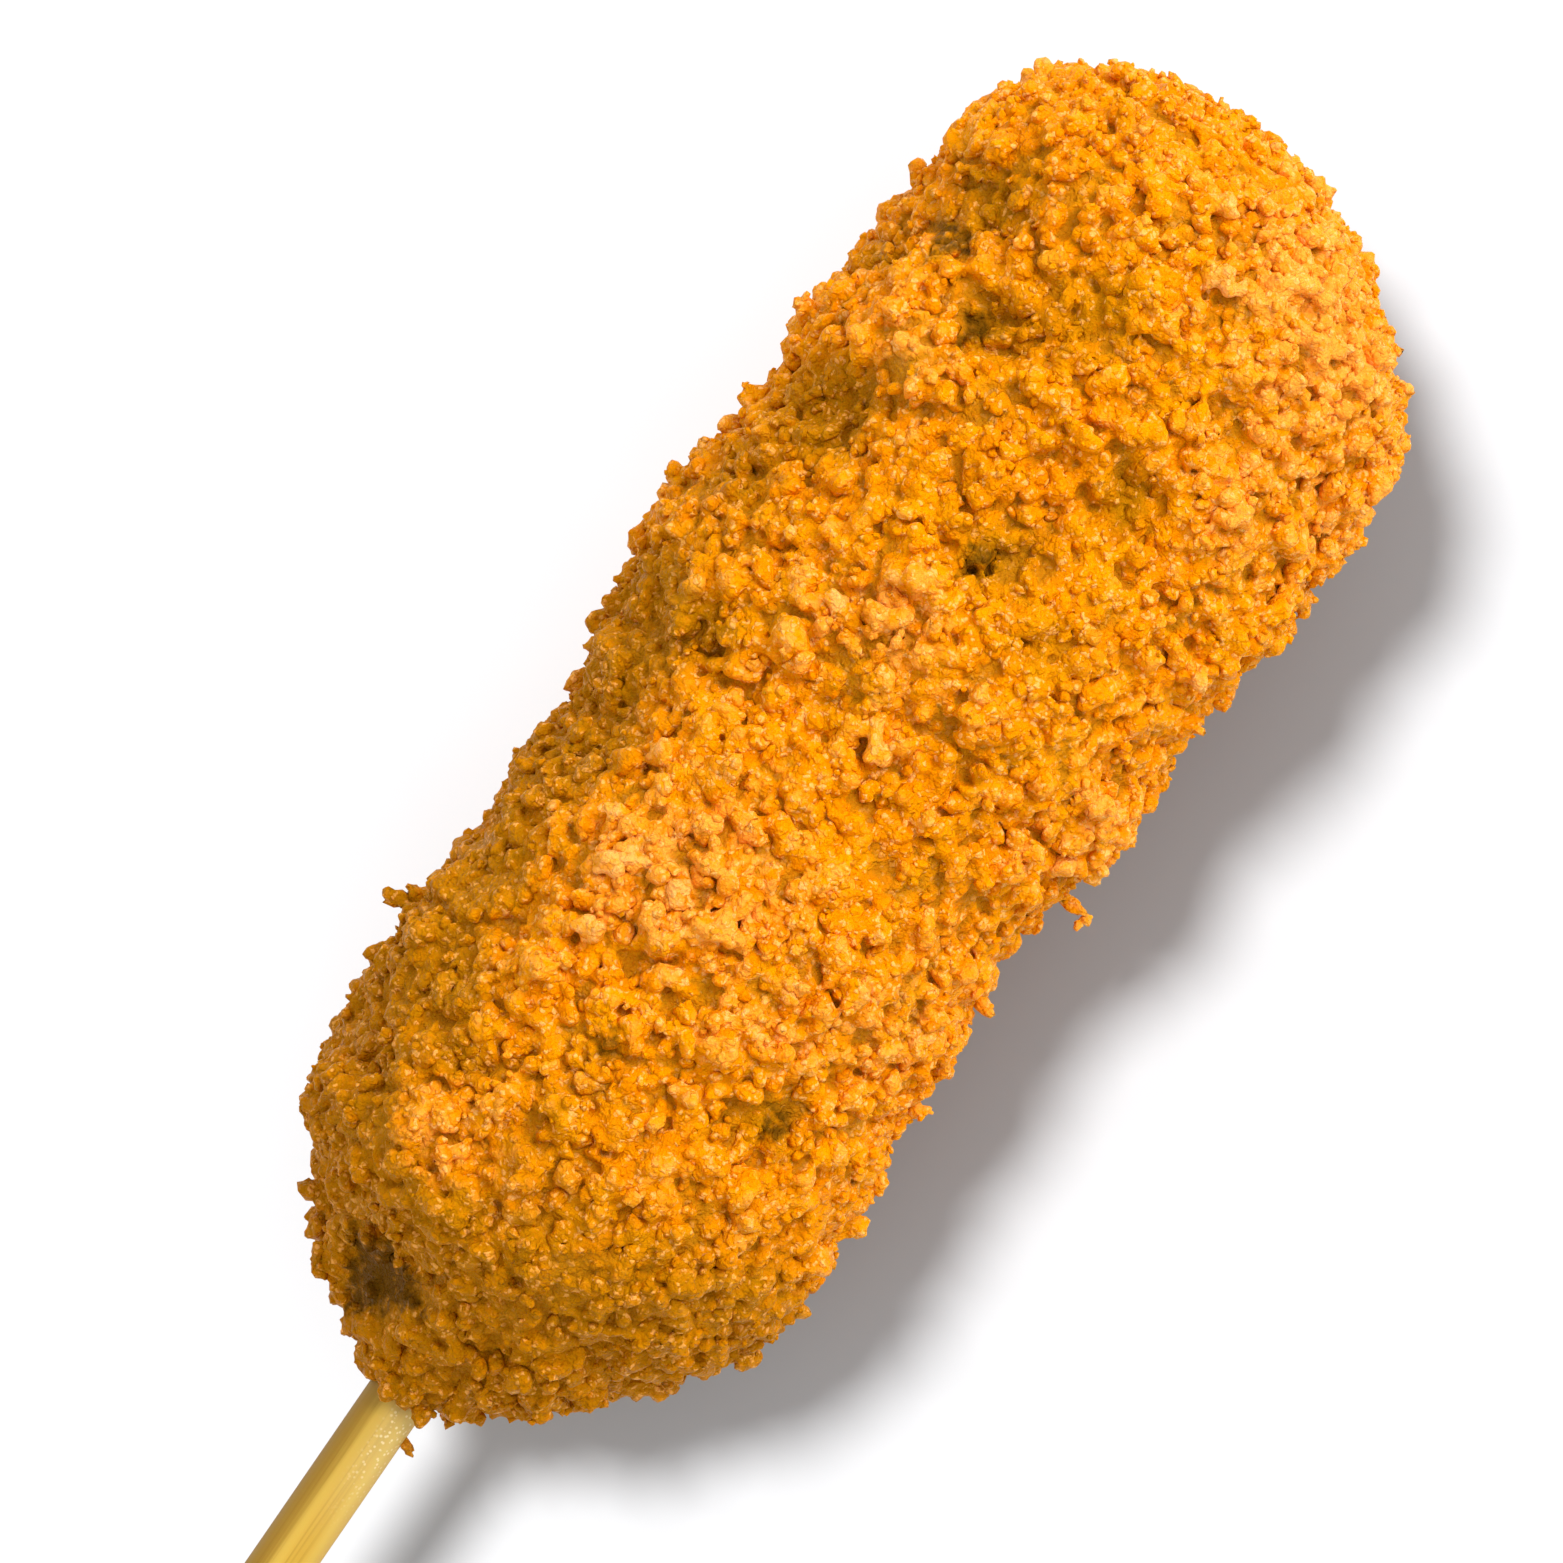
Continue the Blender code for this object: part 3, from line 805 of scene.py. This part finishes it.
def bamboo_material():
    """Straw-coloured fibres, with painted shade along both edges, and oil by the mouth painted paler as a
    sheen, with painted glints.
    """
    material, start, shader = new_material("bamboo")
    place = start.node("ShaderNodeTexCoord", out="Object")
    along = start.node("ShaderNodeSeparateXYZ", (), {"Vector": place}, "X")
    across = start.node("ShaderNodeSeparateXYZ", (), {"Vector": place}, "Y")
    drawn = start.node("ShaderNodeMapping", (), {"Vector": place, "Scale": (12.0, 700.0, 700.0)})
    fibre = start.node("ShaderNodeTexNoise", (), {
        "Vector": drawn, "Scale": 1.0, "Detail": 4.0, "Roughness": 0.6})
    wide = start.node("ShaderNodeMapping", (), {"Vector": place, "Scale": (9.0, 260.0, 260.0)})
    streak = start.node("ShaderNodeTexNoise", (), {"Vector": wide, "Scale": 1.0, "Detail": 2.0})
    straw = start.node("ShaderNodeRGB")
    straw.socket.default_value = (0.52, 0.31, 0.032, 1.0)
    colour = straw.mixed(streak.between(0.42, 0.60), (0.62, 0.41, 0.065, 1.0))
    colour = colour.mixed(fibre.between(0.48, 0.60) * 0.75, (0.35, 0.19, 0.015, 1.0))
    # painted shade along the far edge of the round stick
    painted_shade = (across + fibre * MM).between(AXIS.y + 0.6 * MM, AXIS.y + 2.6 * MM)
    colour = colour.mixed(painted_shade * 0.8, (0.26, 0.135, 0.006, 1.0))
    # oil by the mouth, on the side towards the key lamp, painted paler as a sheen, with painted glints on its
    # drops
    oil_and_sheen = (along + streak * 9.0 * MM).between(MOUTH_X - 12.0 * MM, MOUTH_X + 2.0 * MM)
    oil_and_sheen = oil_and_sheen * across.between(AXIS.y + 1.0 * MM, AXIS.y - 1.0 * MM)
    colour = colour.mixed(oil_and_sheen * 0.4, (0.72, 0.56, 0.22, 1.0))
    oil_drop_glints = start.node("ShaderNodeTexVoronoi", (), {"Vector": place, "Scale": 2400.0}).between(0.40, 0.2)
    colour = colour.mixed(oil_drop_glints * oil_and_sheen ** 3 * 0.6, (0.90, 0.77, 0.44, 1.0))
    # painted shade along the near edge of the round stick
    near_edge_shade = across.between(AXIS.y - 2.0 * MM, AXIS.y - 2.7 * MM)
    colour = colour.mixed(near_edge_shade * 0.6, (0.50, 0.28, 0.04, 1.0))
    feed(colour, shader["Base Color"])
    feed(0.42 + fibre * 0.2, shader["Roughness"])
    grooves = start.node("ShaderNodeBump", (), {"Strength": 0.6, "Distance": 0.06 * MM, "Height": fibre})
    feed(grooves, shader["Normal"])
    shader["Specular IOR Level"].default_value = 0.25
    shader["Subsurface Weight"].default_value = 0.1
    shader["Subsurface Scale"].default_value = 0.6 * MM
    return material


stick = add_object("stick", dowel())
stick.data.materials.append(bamboo_material())
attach(stick, "root")
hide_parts("bamboo_stick")

# ---- Floor, light and camera -------------------------------------------------------------------
# The floor is a wide sheet of card. A large soft lamp beyond the tip lights the food. A smaller one,
# high up on the far side, lights only the card and throws the shadow. The room fills in the rest.

shape = bmesh.new()
bmesh.ops.create_grid(shape, x_segments=1, y_segments=1, size=3.0)
floor_mesh = bpy.data.meshes.new("floor")
shape.to_mesh(floor_mesh)
shape.free()
floor = add_object("floor", floor_mesh)
card, start, shader = new_material("white_card")
place = start.node("ShaderNodeTexCoord", out="Object")
speck = start.node("ShaderNodeTexNoise", (), {"Vector": place, "Scale": 40.0})
white = start.node("ShaderNodeRGB")
white.socket.default_value = (0.415, 0.42, 0.43, 1.0)
feed(white.mixed(speck.between(0.3, 0.7), (0.41, 0.415, 0.425, 1.0)), shader["Base Color"])
shader["Roughness"].default_value = 0.9
floor_mesh.materials.append(card)


def lamp(name, place, aim, size, power, colour):
    light = bpy.data.lights.new(name, "AREA")
    light.shape = "DISK"
    light.size = size
    light.energy = power
    light.color = colour
    obj = bpy.data.objects.new(name, light)
    obj.location = place
    obj.rotation_euler = (Vector(aim) - Vector(place)).to_track_quat("-Z", "Y").to_euler()
    bpy.context.scene.collection.objects.link(obj)
    return obj


middle = Vector((38.6 * MM, AXIS.y, AXIS.z))
key = lamp("key", middle + Vector((0.66, -0.14, 0.72)), middle, 0.70, 10.6, (1.0, 0.97, 0.92))

food = bpy.data.collections.new("lit_by_the_key")
for piece in bpy.context.scene.objects:
    if piece is not floor and piece.type == "MESH":
        food.objects.link(piece)
key.light_linking.receiver_collection = food

card_lamp = lamp("card_lamp", middle + Vector((0.14, 0.70, 1.58)), middle, 0.40, 56.0, (1.0, 1.0, 1.0))
lit = bpy.data.collections.new("lit_by_the_card_lamp")
lit.objects.link(floor)
card_lamp.light_linking.receiver_collection = lit

world = bpy.data.worlds.new("studio")
world.use_nodes = True
world.node_tree.nodes["Background"].inputs["Color"].default_value = (1.0, 1.0, 1.0, 1.0)
world.node_tree.nodes["Background"].inputs["Strength"].default_value = 0.90
bpy.context.scene.world = world
bpy.context.scene.view_settings.view_transform = "Standard"

LENS = 100.0
FIELD = 136.4 * MM  # what the camera sees across, at the height of the stick
AIM = Vector((34.34 * MM, 3.30 * MM, AXIS.z))
SLANT = 55.41  # degrees from the picture's side up to the stick

eye = bpy.data.cameras.new("camera")
eye.lens = LENS
eye.sensor_width = 36.0
camera = bpy.data.objects.new("camera", eye)
camera.location = AIM + Vector((0.0, 0.0, FIELD * LENS / 36.0))
camera.rotation_euler = (0.0, 0.0, -math.radians(SLANT))
bpy.context.scene.collection.objects.link(camera)
bpy.context.scene.camera = camera
